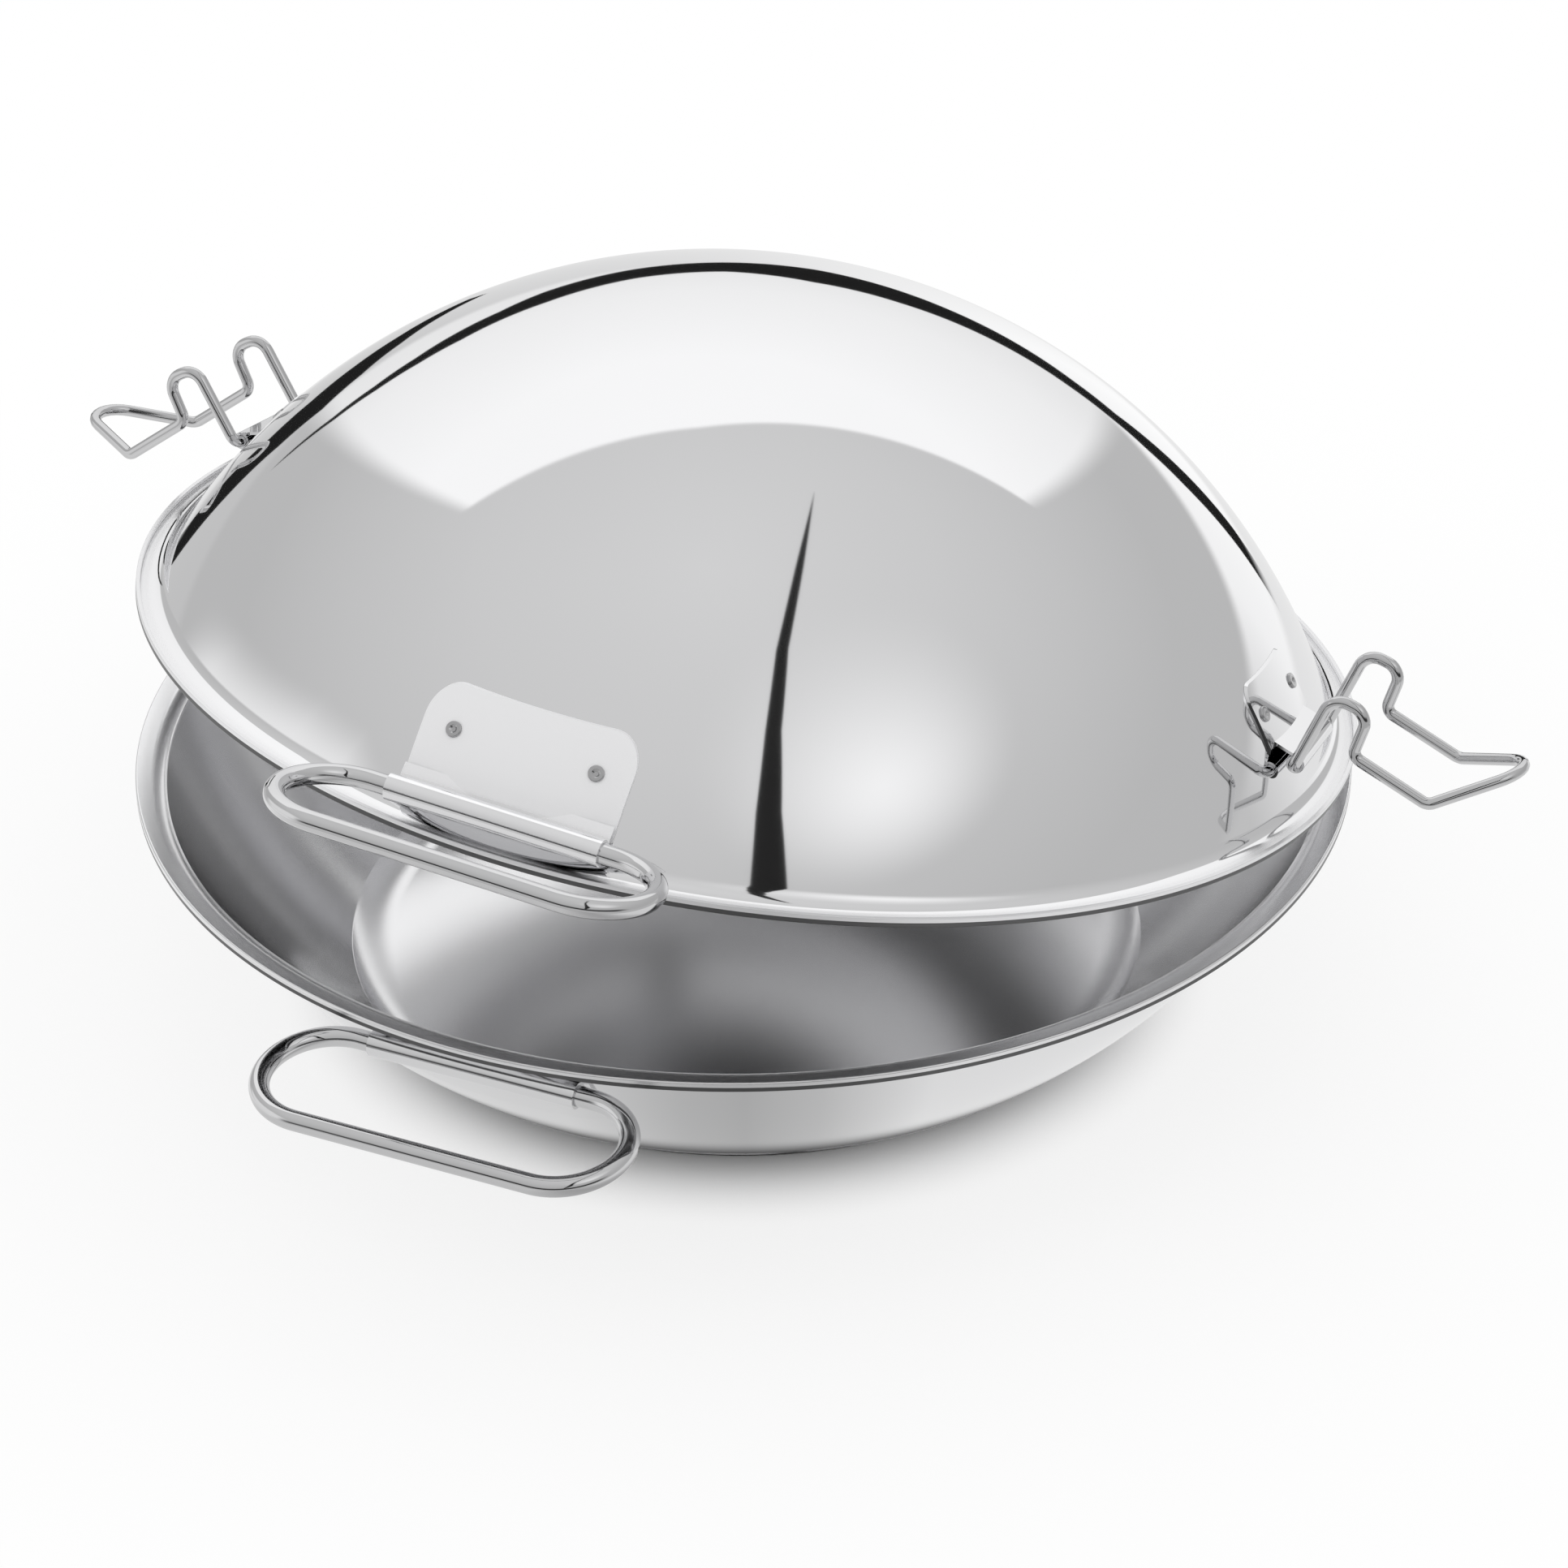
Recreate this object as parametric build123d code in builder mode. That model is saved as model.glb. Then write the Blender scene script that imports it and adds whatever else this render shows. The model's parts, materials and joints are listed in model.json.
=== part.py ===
"""Cataplana: a steamer of two pressed steel bowls, closed over each other by two wire clips.

Millimetres, +Z up. The origin is the centre of the base's underside. Front is -Y, where one pair of
loop handles is; the clips are at +X (right) and -X (left). Every piece of the lid is made shut, level
and centred over the pan, and is then swung open about the point of the rim that it leans on.
"""

import os
from math import asin, atan2, cos, degrees, radians, sin, sqrt, tan

from build123d import *

# ---------------------------------------------------------------- driving dimensions
# the pressed form that both halves share, measured from its rim plane into its depth
RIM_R = 150.0  # outside of the rim
FLANGE_W = 6.0  # from the rim's edge to the outside of the wall
DOME_R = 162.0  # outside radius of the spherical wall
SHELL_T = 1.0  # sheet of both shells
FLANGE_SLOPE = 13.0  # degrees that the flange falls from its outer edge to the wall
LIP_DEPTH = 2.4  # turned-down edge of the flange
LIP_ROUND = 0.45  # rounding of the fold at the rim
NECK_ROUND = 5.0  # inside rounding between flange and wall

# the pan's base
FLOOR_DEPTH = 58.5  # outside of the flat floor, below the rim plane
FLOOR_ROUND = 20.0  # outside rounding between floor and wall
CORE_T = 3.4  # aluminium disc
CORE_R = 91.0
CAP_T = 0.6  # steel cap around the disc
CAP_CHAMFER = 0.5

# the lid, set ajar
RIM_GAP = 0.3  # between the two rims when shut
PAN_TURN = -1.0  # degrees by which the pan's handles are turned from the lid's
LEAN_AZIMUTH = 58.75  # where the lid leans on the pan, from +X towards +Y
LEAN_OUT = 1.5  # distance of that line of contact outside the rim
LID_OPEN = 10.1  # degrees

# sheet plates, rolled at one edge into a tube
PLATE_T = 0.7
PLATE_SEAT = 0.02  # between plate and shell

# loop handles: one pair in front, one behind
LOOP_WIRE = 4.8
LOOP_FIT = 0.05  # around the wire in its tube
LOOP_LENGTH = 89.6  # along the rim, between wire centres
LOOP_WIDTH = 31.0  # outwards, between wire centres
LOOP_TILT = 4.7  # degrees away from the rim plane
LOOP_TUBE_OFF = 2.9  # tube axis, off the plate's outer face
LOOP_TUBE_H = 8.2  # tube axis, from the rim plane
LOOP_TUBE_LENGTH = 52.2
LOOP_WEB_SLOPE = 50.0  # degrees of the strip that joins plate and tube
LOOP_PLATE_WIDTH = 51.4
LOOP_PLATE_RISE = 20.0  # plate's far edge, beyond the strip's foot
LOOP_PLATE_ROUND = 7.5
LOOP_RIVET_SPREAD = 17.5
LOOP_RIVET_RISE = 11.6  # beyond the strip's foot

# closing clips: one on each side of the lid
CLIP_WIRE = 2.9
CLIP_FIT = 0.05  # running fit of the wire in its tube
CLIP_SPACING = 30.5  # between the centres of the two legs
CLIP_HOOK_ROUND = 2.6  # where a leg turns into the tube
CLIP_HOOK_LENGTH = 8.0  # of wire inside the tube, at each end
CLIP_TUBE_OFF = 2.25
CLIP_TUBE_H = 13.0
CLIP_WEB_SLOPE = 18.0
CLIP_END_GAP = 0.2  # between the tube's end and the bend of the wire
CLIP_PLATE_WIDTH = 31.0
CLIP_PLATE_RISE = 12.4
CLIP_PLATE_ROUND = 4.0
CLIP_RIVET_SPREAD = 11.5
CLIP_RIVET_RISE = 5.9
# one leg seen along its pivot: (outwards, away from the rim), with the rounding of each bend
CLIP_LEG = [
    ((6.1, 20.6), 4.4),
    ((15.3, 18.6), 4.2),
    ((13.3, 7.4), 2.6),
    ((32.9, 0.6), 3.0),
]
CLIP_TIP = (58.3, 13.6)
CLIP_TIP_ROUND = 8.0
CLIP_RIGHT_TURN = 1.65  # degrees by which each clip sits behind the middle of the lid
CLIP_LEFT_TURN = 4.0
CLIP_RIGHT_DROP = 0.0  # degrees that each clip hangs below that shape's own position
CLIP_LEFT_DROP = 23.0

# rivets
RIVET_R = 1.3
RIVET_FIT = 0.02  # around the shank
RIVET_SEAT = 0.02  # between the inner head and the shell
RIVET_HEAD_R = 1.9
RIVET_HEAD_T = 0.55
RIVET_HEAD_ROUND = 0.25
RIVET_DIMPLE_R = 1.0
RIVET_DIMPLE_FLOOR_R = 0.5
RIVET_DIMPLE_DEPTH = 0.4

# ---------------------------------------------------------------- what follows from them
BASE_T = CORE_T + CAP_T
RIM_Z = FLOOR_DEPTH + BASE_T
CAP_R = CORE_R + CAP_T
WALL_R = RIM_R - FLANGE_W
LEAN_R = RIM_R + LEAN_OUT
SLOPE = radians(FLANGE_SLOPE)
FLANGE_DROP = SHELL_T / cos(SLOPE)  # sheet thickness measured along the depth
WALL_DEPTH = FLANGE_W * tan(SLOPE) + FLANGE_DROP
DOME_C = sqrt(DOME_R**2 - WALL_R**2) - WALL_DEPTH  # dome centre, on the open side of the rim plane
PLATE_R = DOME_R + PLATE_SEAT + PLATE_T  # a plate's outer face, from the dome's centre
LOOP_BORE_R = LOOP_WIRE / 2 + LOOP_FIT
CLIP_BORE_R = CLIP_WIRE / 2 + CLIP_FIT
CLIP_TUBE_LENGTH = CLIP_SPACING - 2 * (CLIP_HOOK_ROUND + CLIP_END_GAP)
FRONT, BACK, RIGHT, LEFT = -90, 90, 0, 180

lean_u = (cos(radians(LEAN_AZIMUTH)), sin(radians(LEAN_AZIMUTH)))
lid_hinge = Axis((LEAN_R * lean_u[0], LEAN_R * lean_u[1], RIM_Z), (-lean_u[1], lean_u[0], 0))


class Half:
    """Where one half lies: its rim's centre and the direction from the rim into its depth."""

    def __init__(self, rim_z, depth):
        self.rim = Vector(0, 0, rim_z)
        self.depth = Vector(0, 0, depth)
        self.dome = self.rim - self.depth * DOME_C

    def section(self, azimuth=0):
        """Plane through the axis: X outwards, Y into the depth."""
        out = Vector(1, 0, 0).rotate(Axis.Z, azimuth)
        return Plane(self.rim, x_dir=out, z_dir=out.cross(self.depth))

    def facing(self, azimuth):
        """Plane across that direction: X along the rim, Y into the depth, Z outwards."""
        out = Vector(1, 0, 0).rotate(Axis.Z, azimuth)
        return Plane(self.rim, x_dir=self.depth.cross(out), z_dir=out)

    def on_wall(self, azimuth, along, depth):
        """Plane that lies on a plate's outer face, Z outwards along the dome's radius."""
        out = sqrt(PLATE_R**2 - (DOME_C + depth) ** 2 - along**2)
        place = self.facing(azimuth).from_local_coords(Vector(along, depth, out))
        return Plane(place, z_dir=place - self.dome)


pan = Half(RIM_Z, -1)
lid = Half(RIM_Z + RIM_GAP, 1)


def run_to_dome(start, direction, radius):
    """Length of the straight from a profile point, along a unit direction, to the dome of that radius."""
    x, y = start[0], start[1] + DOME_C
    along = x * direction[0] + y * direction[1]
    return -along - sqrt(along**2 - (x**2 + y**2 - radius**2))


def dome_arc(radius, start, end_angle):
    """Arc about the dome's centre, in a section plane, from a profile point to that angle."""
    start_angle = degrees(atan2(start[1] + DOME_C, start[0]))
    return CenterArc((0, -DOME_C), radius, start_angle, end_angle - start_angle)


# ---------------------------------------------------------------- shells
def rim_outline():
    """Flange and lip, as points from the wall's outer corner round to its inner corner."""
    fall = (-cos(SLOPE), sin(SLOPE))
    run = run_to_dome((RIM_R, 0), fall, DOME_R - SHELL_T)
    lip_r = RIM_R - SHELL_T
    return [
        (WALL_R, WALL_DEPTH),
        (lip_r, SHELL_T * tan(SLOPE) + FLANGE_DROP),
        (lip_r, LIP_DEPTH),
        (RIM_R, LIP_DEPTH),
        (RIM_R, 0),
        (RIM_R + fall[0] * run, fall[1] * run),
    ]


def round_rim(profile):
    """Roundings that both halves have, on their profile's corners."""
    outline = rim_outline()
    for corner, radius in ((0, NECK_ROUND), (5, NECK_ROUND + SHELL_T), (4, LIP_ROUND)):
        fillet(profile.vertices().sort_by_distance(outline[corner])[0], radius)


def bowl(half, floor_depth):
    """The pan: the pressed form with a flat floor."""
    outside = degrees(asin((floor_depth + DOME_C) / DOME_R))
    inside = degrees(asin((floor_depth - SHELL_T + DOME_C) / (DOME_R - SHELL_T)))
    outline = rim_outline()
    with BuildPart() as pressed:
        with BuildSketch(half.section()) as profile:
            with BuildLine():
                Polyline(*outline)
                outer_wall = dome_arc(DOME_R, outline[0], outside)
                inner_wall = dome_arc(DOME_R - SHELL_T, outline[-1], inside)
                Polyline(outer_wall @ 1, (0, floor_depth), (0, floor_depth - SHELL_T), inner_wall @ 1)
            make_face()
            fillet(profile.vertices().sort_by_distance(outer_wall @ 1)[0], FLOOR_ROUND)
            fillet(profile.vertices().sort_by_distance(inner_wall @ 1)[0], FLOOR_ROUND - SHELL_T)
            round_rim(profile)
        revolve(axis=Axis.Z)
    return pressed


def dome(half):
    """The lid: the pressed form with its whole crown."""
    outline = rim_outline()
    with BuildPart() as pressed:
        with BuildSketch(half.section()) as profile:
            with BuildLine():
                Polyline(*outline)
                outer_wall = dome_arc(DOME_R, outline[0], 90)
                inner_wall = dome_arc(DOME_R - SHELL_T, outline[-1], 90)
                Line(outer_wall @ 1, inner_wall @ 1)
            make_face()
            round_rim(profile)
        revolve(axis=Axis.Z)
    return pressed


def drill(piece, seats):
    """Rivet holes, from the plate's outer face through plate and shell."""
    with piece:
        with Locations(*[seat.location for seat in seats]):
            Hole(RIVET_R, depth=PLATE_T + PLATE_SEAT + 2 * SHELL_T)


# ---------------------------------------------------------------- plates and rivets
class Roll:
    """Section of a plate: its tube, and the strip that runs from the tube to the wall.

    The strip leaves the tube on its side away from the wall (over = 1) or next to the wall (over = -1).
    """

    def __init__(self, bore_r, off_plate, height, web_slope, over):
        self.bore_r = bore_r
        self.roll_r = bore_r + PLATE_T
        self.tube = (sqrt((PLATE_R + off_plate) ** 2 - (DOME_C + height) ** 2), height)
        self.run = (-cos(radians(web_slope)), sin(radians(web_slope)))
        faces = sorted((over * bore_r, over * self.roll_r))
        self.inner, self.outer = [self.beside_tube(distance) for distance in faces]
        self.foot = self.at_dome(self.outer, PLATE_R)[1]

    def beside_tube(self, distance):
        """Point off the tube's axis, square to the strip."""
        return (self.tube[0] + self.run[1] * distance, self.tube[1] - self.run[0] * distance)

    def at_dome(self, start, radius):
        """Where a line along the strip, from that point, meets the dome of that radius."""
        length = run_to_dome(start, self.run, radius)
        return (start[0] + self.run[0] * length, start[1] + self.run[1] * length)


loop_roll = Roll(LOOP_BORE_R, LOOP_TUBE_OFF, LOOP_TUBE_H, LOOP_WEB_SLOPE, -1)
clip_roll = Roll(CLIP_BORE_R, CLIP_TUBE_OFF, CLIP_TUBE_H, CLIP_WEB_SLOPE, 1)


def wall_patch(half, azimuth, width, bottom, top, rounding):
    """Sheet that lies on the wall: a rectangle with its two far corners rounded."""
    inside_r = DOME_R + PLATE_SEAT
    with BuildPart() as patch:
        with BuildSketch(half.section(azimuth)):
            with Locations((0, -DOME_C)):
                Circle(inside_r + PLATE_T)
                Circle(inside_r, mode=Mode.SUBTRACT)
            with Locations((0, bottom)):
                Rectangle(RIM_R, top - bottom, align=(Align.MIN, Align.MIN), mode=Mode.INTERSECT)
        revolve(axis=Axis.Z)
        with BuildSketch(half.facing(azimuth)) as blank:
            with Locations((0, bottom)):
                Rectangle(width, top - bottom, align=(Align.CENTER, Align.MIN))
            fillet(blank.vertices().group_by(Axis.Y)[-1], rounding)
        extrude(amount=RIM_R, mode=Mode.INTERSECT)
    return patch


def plate(half, azimuth, roll, tube_length, width, rise, rounding):
    """Sheet on the wall, the strip that leaves it, and the tube that its edge is rolled into."""
    far_inner = roll.at_dome(roll.inner, DOME_R)
    far_outer = roll.at_dome(roll.outer, DOME_R)
    patch = wall_patch(half, azimuth, width, roll.tube[1], roll.foot + rise, rounding)
    with BuildPart() as sheet:
        add(patch.part)
        with BuildSketch(half.section(azimuth)):
            Polygon(roll.inner, far_inner, (far_inner[0], 0), (roll.inner[0], 0), align=None)
        extrude(amount=width, both=True, mode=Mode.SUBTRACT)
        with BuildSketch(half.section(azimuth)):
            Polygon(roll.inner, far_inner, far_outer, roll.outer, align=None)
        extrude(amount=min(width, tube_length) / 2, both=True)
        with Locations(half.dome):
            Sphere(DOME_R + PLATE_SEAT, mode=Mode.SUBTRACT)
        with BuildSketch(half.section(azimuth)):
            with Locations(roll.tube):
                Circle(roll.roll_r)
        extrude(amount=tube_length / 2, both=True)
        with BuildSketch(half.section(azimuth)):
            with Locations(roll.tube):
                Circle(roll.bore_r)
        extrude(amount=width, both=True, mode=Mode.SUBTRACT)
    return sheet


def rivets(seats):
    """Tubular rivets: a dimpled head on the plate, a shank, and a flat head inside the shell."""
    grip = PLATE_T + PLATE_SEAT + SHELL_T + RIVET_SEAT
    shank_r = RIVET_R - RIVET_FIT
    with BuildPart() as single:
        with BuildSketch(Plane.XZ) as profile:
            with BuildLine():
                Polyline(
                    (0, -grip - RIVET_HEAD_T),
                    (RIVET_HEAD_R, -grip - RIVET_HEAD_T),
                    (RIVET_HEAD_R, -grip),
                    (shank_r, -grip),
                    (shank_r, 0),
                    (RIVET_HEAD_R, 0),
                    (RIVET_HEAD_R, RIVET_HEAD_T),
                    (RIVET_DIMPLE_R, RIVET_HEAD_T),
                    (RIVET_DIMPLE_FLOOR_R, RIVET_HEAD_T - RIVET_DIMPLE_DEPTH),
                    (0, RIVET_HEAD_T - RIVET_DIMPLE_DEPTH),
                    close=True,
                )
            make_face()
            for end in (-grip - RIVET_HEAD_T, RIVET_HEAD_T):
                fillet(profile.vertices().sort_by_distance((RIVET_HEAD_R, end))[0], RIVET_HEAD_ROUND)
        revolve(axis=Axis.Z)
    with BuildPart() as group:
        with Locations(*[seat.location for seat in seats]):
            add(single.part)
    return group


# ---------------------------------------------------------------- wires
def loop(half, azimuth):
    """Loop grip: wire bent to two straights and two half circles, one straight inside the tube."""
    facing = half.facing(azimuth)
    tilt = radians(LOOP_TILT)
    outwards = facing.z_dir * cos(tilt) + half.depth * sin(tilt)
    centre = half.section(azimuth).from_local_coords(Vector(*loop_roll.tube))
    lie = Plane(centre, x_dir=facing.x_dir, z_dir=facing.x_dir.cross(outwards))
    bend = LOOP_WIDTH / 2
    end = LOOP_LENGTH / 2 - bend
    with BuildPart() as grip:
        with BuildLine(lie) as route:
            Line((0, 0), (end, 0))
            ThreePointArc((end, 0), (end + bend, bend), (end, 2 * bend))
            Line((end, 2 * bend), (-end, 2 * bend))
            ThreePointArc((-end, 2 * bend), (-end - bend, bend), (-end, 0))
            Line((-end, 0), (0, 0))
        with BuildSketch(Plane(centre, z_dir=facing.x_dir)):
            Circle(LOOP_WIRE / 2)
        sweep(path=route.wire())
    return grip


def clip_route():
    """Points and roundings of the whole clip wire: (outwards, away from the rim, along the tube)."""
    side = CLIP_SPACING / 2
    hook = side - CLIP_HOOK_ROUND - CLIP_HOOK_LENGTH
    leg = [(0, 0), *[point for point, rounding in CLIP_LEG]]
    roundings = [CLIP_HOOK_ROUND, *[rounding for point, rounding in CLIP_LEG]]
    points = [(0, 0, -hook), *[(x, y, -side) for x, y in leg], (*CLIP_TIP, 0)]
    points += [*[(x, y, side) for x, y in reversed(leg)], (0, 0, hook)]
    return points, [*roundings, CLIP_TIP_ROUND, *reversed(roundings)]


def clip(half, azimuth, drop):
    """Closing clip, hung in its tube and lowered by an angle."""
    outwards = half.facing(azimuth).z_dir
    reach = outwards * cos(radians(drop)) - half.depth * sin(radians(drop))
    centre = half.section(azimuth).from_local_coords(Vector(*clip_roll.tube))
    lie = Plane(centre, x_dir=reach, z_dir=outwards.cross(half.depth))
    points, roundings = clip_route()
    with BuildPart() as wire:
        with BuildLine(lie) as route:
            FilletPolyline(*points, radius=roundings)
        path = route.wire()
        with BuildSketch(Plane(path @ 0, z_dir=path % 0)):
            Circle(CLIP_WIRE / 2)
        sweep(path=path)
    return wire


# ---------------------------------------------------------------- assembly
def base_core():
    """Heat-spreading disc between the floor and the cap."""
    with BuildPart() as core:
        with BuildSketch(Plane.XY.offset(CAP_T)):
            Circle(CORE_R)
        extrude(amount=CORE_T)
    return core


def base_cap():
    """Shallow cup around the disc, up to the floor's underside."""
    with BuildPart() as cap:
        with BuildSketch(Plane.XY):
            Circle(CAP_R)
        extrude(amount=BASE_T)
        chamfer(cap.edges().group_by(Axis.Z)[0], CAP_CHAMFER)
        with BuildSketch(Plane.XY.offset(CAP_T)):
            Circle(CORE_R)
        extrude(amount=CORE_T, mode=Mode.SUBTRACT)
    return cap


def rivet_seats(half, azimuth, roll, spread, rise):
    """Places of a plate's two rivets."""
    return [half.on_wall(azimuth, side * spread, roll.foot + rise) for side in (-1, 1)]


def handle(half, azimuth):
    """Plate, loop and rivets of one handle, and the seats of its rivets."""
    seats = rivet_seats(half, azimuth, loop_roll, LOOP_RIVET_SPREAD, LOOP_RIVET_RISE)
    sheet = plate(half, azimuth, loop_roll, LOOP_TUBE_LENGTH, LOOP_PLATE_WIDTH, LOOP_PLATE_RISE,
                  LOOP_PLATE_ROUND)
    drill(sheet, seats)
    return {"plate": sheet, "loop": loop(half, azimuth), "rivets": rivets(seats)}, seats


def clip_mount(half, azimuth, drop):
    """Plate, rivets and wire of one clip, and the seats of its rivets."""
    seats = rivet_seats(half, azimuth, clip_roll, CLIP_RIVET_SPREAD, CLIP_RIVET_RISE)
    sheet = plate(half, azimuth, clip_roll, CLIP_TUBE_LENGTH, CLIP_PLATE_WIDTH, CLIP_PLATE_RISE,
                  CLIP_PLATE_ROUND)
    drill(sheet, seats)
    return {"plate": sheet, "rivets": rivets(seats), "wire": clip(half, azimuth, drop)}, seats


nodes = {"base_core": base_core().part, "base_cap": base_cap().part}

pan_shell = bowl(pan, FLOOR_DEPTH)
for place, azimuth in (("front", FRONT), ("back", BACK)):
    pieces, seats = handle(pan, azimuth + PAN_TURN)
    drill(pan_shell, seats)
    for piece, made in pieces.items():
        nodes[f"pan_{place}_{piece}"] = made.part
nodes["pan_shell"] = pan_shell.part

lid_nodes = {}
lid_shell = dome(lid)
for place, azimuth in (("front", FRONT), ("back", BACK)):
    pieces, seats = handle(lid, azimuth)
    drill(lid_shell, seats)
    for piece, made in pieces.items():
        lid_nodes[f"lid_{place}_{piece}"] = made.part
right_clip = ("right", RIGHT + CLIP_RIGHT_TURN, CLIP_RIGHT_DROP)
left_clip = ("left", LEFT - CLIP_LEFT_TURN, CLIP_LEFT_DROP)
for place, azimuth, drop in (right_clip, left_clip):
    pieces, seats = clip_mount(lid, azimuth, drop)
    drill(lid_shell, seats)
    for piece, made in pieces.items():
        lid_nodes[f"clip_{place}_{piece}"] = made.part
lid_nodes["lid_shell"] = lid_shell.part

for name, shut in lid_nodes.items():
    nodes[name] = shut.rotate(lid_hinge, LID_OPEN)

os.makedirs("parts", exist_ok=True)
for name, piece in nodes.items():
    piece.label = name
    export_step(piece, f"parts/{name}.step")
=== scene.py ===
# %% [markdown]
# # A cataplana in polished steel
# A cataplana is a steamer of two pressed steel bowls that close over each other like a shell. Here the
# lid lies ajar on the pan. Nearly everything on it is bare metal, so the lesson is mostly about two
# things: smooth surfaces, and a studio that gives the metal something to reflect.
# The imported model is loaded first. It is the fixed frame: every piece made below sits on it.

# %% Load the frame
import json
from math import asin, atan2, cos, degrees, pi, radians, sin, sqrt, tan

import bpy
from mathutils import Matrix, Vector


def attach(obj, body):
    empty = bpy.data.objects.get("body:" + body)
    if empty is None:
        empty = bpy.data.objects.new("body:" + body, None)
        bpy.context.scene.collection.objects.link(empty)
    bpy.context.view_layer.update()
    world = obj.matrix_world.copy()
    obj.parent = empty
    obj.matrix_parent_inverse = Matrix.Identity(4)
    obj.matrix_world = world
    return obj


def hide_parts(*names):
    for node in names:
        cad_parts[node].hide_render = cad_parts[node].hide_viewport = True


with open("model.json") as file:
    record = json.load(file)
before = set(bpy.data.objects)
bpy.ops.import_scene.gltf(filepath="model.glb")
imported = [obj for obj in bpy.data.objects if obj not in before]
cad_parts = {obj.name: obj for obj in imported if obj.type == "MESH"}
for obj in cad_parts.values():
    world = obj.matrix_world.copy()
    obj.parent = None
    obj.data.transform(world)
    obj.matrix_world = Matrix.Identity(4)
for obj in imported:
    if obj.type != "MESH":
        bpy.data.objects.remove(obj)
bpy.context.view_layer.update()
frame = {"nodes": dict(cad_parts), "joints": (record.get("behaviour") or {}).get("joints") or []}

# %% [markdown]
# ## Camera
# The camera comes first, because the studio is arranged round it. A long lens from about 1.2 m keeps
# the two rims nearly elliptical. It is built from the direction it looks in and a small roll.

# %% Camera
CAMERA_PLACE = Vector((0.4254, -0.9444, 0.6846))
CAMERA_LOOK = Vector((-0.3425, 0.7801, -0.5236))
CAMERA_ROLL = radians(-0.54)
SENSOR = 36.0
LENS = 111.9

camera_data = bpy.data.cameras.new("camera")
camera_data.sensor_width = SENSOR
camera_data.lens = LENS
camera = bpy.data.objects.new("camera", camera_data)
camera.location = CAMERA_PLACE
camera.rotation_mode = "QUATERNION"
turn = CAMERA_LOOK.to_track_quat("-Z", "Y").to_matrix() @ Matrix.Rotation(CAMERA_ROLL, 3, "Z")
camera.rotation_quaternion = turn.to_quaternion()
bpy.context.scene.collection.objects.link(camera)
bpy.context.scene.camera = camera
bpy.context.scene.view_settings.view_transform = "Standard"
VIEW_TURN = atan2(-CAMERA_LOOK.x, CAMERA_LOOK.y)  # from straight along +Y, towards -X
print("view is turned by", round(degrees(VIEW_TURN), 1), "degrees")

# %% [markdown]
# ## Helpers for node trees
# Every tree below is built in code. Two small helpers keep that readable: one adds a node and fills in
# its sockets by name, the other opens a new group with named inputs and outputs.

# %% Node helpers
def add_node(tree, kind, values=None, **settings):
    """Adds a node; values go to its input sockets, either as plain values or as links."""
    node = tree.nodes.new(kind)
    for name, setting in settings.items():
        setattr(node, name, setting)
    for name, value in (values or {}).items():
        socket = node.inputs[name]
        if isinstance(value, bpy.types.NodeSocket):
            tree.links.new(value, socket)
        else:
            socket.default_value = value
    return node


def math(tree, operation, *values):
    """A Math node on up to three numbers or sockets, as its output socket."""
    return add_node(tree, "ShaderNodeMath", dict(enumerate(values)), operation=operation).outputs[0]


def new_group(name, kind, inputs, outputs):
    """A node group with typed, named sockets; inputs are (name, type, default)."""
    group = bpy.data.node_groups.new(name, kind)
    for title, socket_type, default in inputs:
        socket = group.interface.new_socket(title, in_out="INPUT", socket_type=socket_type)
        if default is not None:
            socket.default_value = default
    for title, socket_type in outputs:
        group.interface.new_socket(title, in_out="OUTPUT", socket_type=socket_type)
    source = group.nodes.new("NodeGroupInput")
    result = group.nodes.new("NodeGroupOutput")
    return group, source.outputs, result.inputs


print("helpers: add_node, math, new_group")

# %% [markdown]
# ## The pressed form
# Lid and pan come from one die: a spherical wall, a flange that falls slightly towards it, and a lip
# folded down. A section of half of that form, spun round its axis, gives the whole sheet, so the form
# is a rule rather than something to sculpt. The section is a chain of corners, each with a rounding;
# the wall itself is an arc, given as many short steps so that the mirror on it has no facets.

# %% Sizes of the pressed form, in millimetres
RIM_R = 150.0
WALL_R = 144.0
DOME_R = 162.0
SHEET = 1.0
SLOPE = radians(13.0)
LIP = 2.4
RIM_HEIGHT = {"pan": 62.5, "lid": 62.8}
FLOOR_DEPTH = 58.5
NECK_ROUNDING = 5.0
FLOOR_ROUNDING = 20.0
LIP_ROUNDING = 0.45
LIP_INNER_ROUNDING = 0.2
EDGE_ROUNDING = 0.1
OUTER_HOLD, INNER_HOLD = 2.7, 2.0  # extra corners that keep the flange flat beside a rounding
WALL_STEPS = 72
FLOOR_STEPS = (60, 30, 0)
WALL_DEPTH = (RIM_R - WALL_R) * tan(SLOPE) + SHEET / cos(SLOPE)
DOME_C = sqrt(DOME_R**2 - WALL_R**2) - WALL_DEPTH
print("dome centre is", round(DOME_C, 2), "mm beyond the rim plane")

# %% Section of the sheet
def wall(radius, start, end_angle, steps):
    """Points (out, depth) on the wall's arc, after its start point."""
    first = atan2(start[1] + DOME_C, start[0])
    angles = [first + (end_angle - first) * step / steps for step in range(1, steps + 1)]
    return [(radius * cos(a), radius * sin(a) - DOME_C, 0) for a in angles]


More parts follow.
